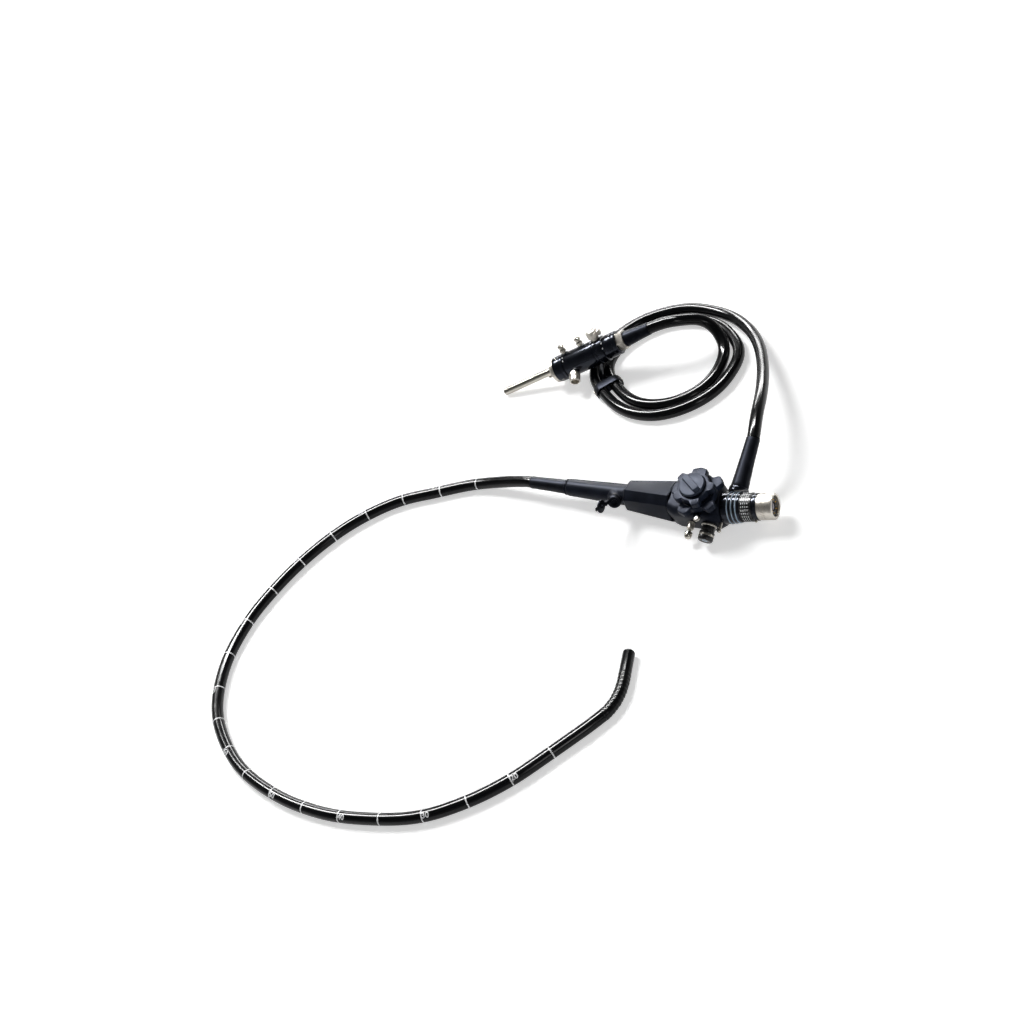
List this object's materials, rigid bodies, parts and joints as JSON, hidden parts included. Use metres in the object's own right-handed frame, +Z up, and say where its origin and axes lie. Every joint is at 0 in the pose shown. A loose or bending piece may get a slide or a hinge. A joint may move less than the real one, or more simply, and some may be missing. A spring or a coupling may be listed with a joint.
{
  "type": "flexible endoscope",
  "caption": "Flexible endoscope on a table: control handle with wheels, valves and eyepiece, long insertion tube with a jointed bending end, and looped light guide cord with its connector.",
  "frame": {"origin": "on the table, under the middle of the control section's bounding box", "axes": "+X along the control section towards its eyepiece, +Y towards the light guide cord, +Z up from the table"},
  "size_m": [0.6109, 0.7899, 0.0722],
  "materials": {
    "black_rubber": "satin",
    "slate_grip": "satin",
    "dark_body": "satin",
    "slate_wheel": "satin",
    "bright_steel": "polished",
    "inner_steel": "brushed",
    "link_steel": "satin",
    "tube_jacket": "gloss",
    "tip_plastic": "gloss",
    "fibre_jacket": "satin",
    "inner_hose": "satin",
    "lens_glass": "polished"
  },
  "bodies": {
    "handle_and_cords": {"tube_boot": "black_rubber", "boot_ring": "bright_steel", "channel_housing": "slate_grip", "grip": "slate_grip", "port_collar": "bright_steel", "port_valve": "black_rubber", "control_body": "dark_body", "back_cover": "dark_body", "chassis": "inner_steel", "centre_post": "inner_steel", "rl_wire": "inner_steel", "ud_wire": "inner_steel", "fibre_bundle": "fibre_jacket", "suction_tube": "inner_hose", "suction_sleeve": "dark_body", "air_sleeve": "dark_body", "leak_test_stud": "bright_steel", "eyepiece_neck": "slate_grip", "index_ring": "dark_body", "mount_ring": "bright_steel", "contact_plate": "dark_body", "eyepiece_lens": "lens_glass", "cord_socket": "slate_grip", "cord_boot": "black_rubber", "insertion_tube": "tube_jacket", "bend_base": "link_steel", "light_guide_cord": "tube_jacket", "cord_clip": "black_rubber", "rear_boot": "black_rubber", "hex_nut": "bright_steel", "connector_body": "dark_body", "front_collar": "dark_body", "front_ring": "bright_steel", "light_guide_rod": "bright_steel", "air_pipe": "bright_steel", "front_nipple": "bright_steel", "rear_nipple": "bright_steel", "vent_barrel": "bright_steel", "suction_fitting": "bright_steel"},
    "ud_wheel_body": {"ud_wheel": "slate_wheel", "ud_drum": "inner_steel"},
    "rl_wheel_body": {"rl_wheel": "slate_wheel", "rl_drum": "inner_steel"},
    "brake_lever_body": {"brake_lever": "dark_body"},
    "brake_knob_body": {"brake_knob": "slate_wheel"},
    "suction_cap_body": {"suction_cap": "slate_wheel"},
    "air_cap_body": {"air_cap": "bright_steel"},
    "diopter_ring_body": {"diopter_ring": "slate_grip"},
    "port_lid_body": {"port_lid": "black_rubber"},
    "link_1_body": {"bend_link_1": "link_steel"},
    "link_2_body": {"bend_link_2": "link_steel"},
    "link_3_body": {"bend_link_3": "link_steel"},
    "link_4_body": {"bend_link_4": "link_steel"},
    "link_5_body": {"bend_link_5": "link_steel"},
    "link_6_body": {"bend_link_6": "link_steel"},
    "link_7_body": {"bend_link_7": "link_steel"},
    "distal_tip_body": {"distal_tip": "tip_plastic", "objective_lens": "lens_glass"}
  },
  "joints": [
    {"name": "ud_wheel_turn", "type": "hinge", "parent": "handle_and_cords", "child": "ud_wheel_body", "pos_m": [0.07531, -0.01983, 0.04427], "axis": [0, -0.1736, 0.9848], "range_deg": [-200, 128]},
    {"name": "rl_wheel_turn", "type": "hinge", "parent": "handle_and_cords", "child": "rl_wheel_body", "pos_m": [0.07531, -0.02157, 0.05412], "axis": [0, -0.1736, 0.9848], "range_deg": [-140, 140]},
    {"name": "ud_brake_turn", "type": "hinge", "parent": "handle_and_cords", "child": "brake_lever_body", "pos_m": [0.07531, -0.01936, 0.04161], "axis": [0, -0.1736, 0.9848], "range_deg": [0, 60]},
    {"name": "rl_brake_turn", "type": "hinge", "parent": "handle_and_cords", "child": "brake_knob_body", "pos_m": [0.07531, -0.02301, 0.06229], "axis": [0, -0.1736, 0.9848], "range_deg": [0, 90]},
    {"name": "suction_press", "type": "slide", "parent": "handle_and_cords", "child": "suction_cap_body", "axis": [0, 0.9455, 0.3256], "range_m": [0, 0.003], "stiffness_N_per_m": 500, "springref_m": -0.002},
    {"name": "air_water_press", "type": "slide", "parent": "handle_and_cords", "child": "air_cap_body", "axis": [0, 0.9455, 0.3256], "range_m": [0, 0.0025], "stiffness_N_per_m": 500, "springref_m": -0.002},
    {"name": "diopter_turn", "type": "hinge", "parent": "handle_and_cords", "child": "diopter_ring_body", "pos_m": [0.09931, -0.0158, 0.02142], "axis": [0.9848, 0.171, 0.0302], "range_deg": [-60, 60]},
    {"name": "port_lid_hinge", "type": "hinge", "parent": "handle_and_cords", "child": "port_lid_body", "pos_m": [-0.03588, -0.04449, 0.03799], "axis": [0, -0.5, -0.866], "range_deg": [-118, 40]},
    {"name": "bend_hinge_1", "type": "hinge", "parent": "handle_and_cords", "child": "link_1_body", "pos_m": [0.07677, -0.28624, 0.007], "axis": [0, 0, 1], "range_deg": [-50, 32]},
    {"name": "bend_hinge_2", "type": "hinge", "parent": "link_1_body", "child": "link_2_body", "pos_m": [0.07812, -0.27988, 0.007], "axis": [0.9781, -0.2079, 0], "range_deg": [-35, 35]},
    {"name": "bend_hinge_3", "type": "hinge", "parent": "link_2_body", "child": "link_3_body", "pos_m": [0.07947, -0.27352, 0.007], "axis": [0, 0, 1], "range_deg": [-50, 32]},
    {"name": "bend_hinge_4", "type": "hinge", "parent": "link_3_body", "child": "link_4_body", "pos_m": [0.07936, -0.26702, 0.007], "axis": [0.9998, 0.0175, 0], "range_deg": [-35, 35]},
    {"name": "bend_hinge_5", "type": "hinge", "parent": "link_4_body", "child": "link_5_body", "pos_m": [0.07924, -0.26052, 0.007], "axis": [0, 0, 1], "range_deg": [-50, 32]},
    {"name": "bend_hinge_6", "type": "hinge", "parent": "link_5_body", "child": "link_6_body", "pos_m": [0.078, -0.25414, 0.007], "axis": [0.9816, 0.1908, 0], "range_deg": [-35, 35]},
    {"name": "bend_hinge_7", "type": "hinge", "parent": "link_6_body", "child": "link_7_body", "pos_m": [0.07676, -0.24776, 0.007], "axis": [0, 0, 1], "range_deg": [-50, 32]},
    {"name": "bend_hinge_8", "type": "hinge", "parent": "link_7_body", "child": "distal_tip_body", "pos_m": [0.07486, -0.24155, 0.007], "axis": [0.9563, 0.2924, 0], "range_deg": [-35, 35]}
  ],
  "couplings": [
    {"joint": "bend_hinge_1", "follows": "ud_wheel_turn", "ratio": 0.25},
    {"joint": "bend_hinge_2", "follows": "rl_wheel_turn", "ratio": 0.25},
    {"joint": "bend_hinge_3", "follows": "ud_wheel_turn", "ratio": 0.25},
    {"joint": "bend_hinge_4", "follows": "rl_wheel_turn", "ratio": 0.25},
    {"joint": "bend_hinge_5", "follows": "ud_wheel_turn", "ratio": 0.25},
    {"joint": "bend_hinge_6", "follows": "rl_wheel_turn", "ratio": 0.25},
    {"joint": "bend_hinge_7", "follows": "ud_wheel_turn", "ratio": 0.25},
    {"joint": "bend_hinge_8", "follows": "rl_wheel_turn", "ratio": 0.25}
  ]
}
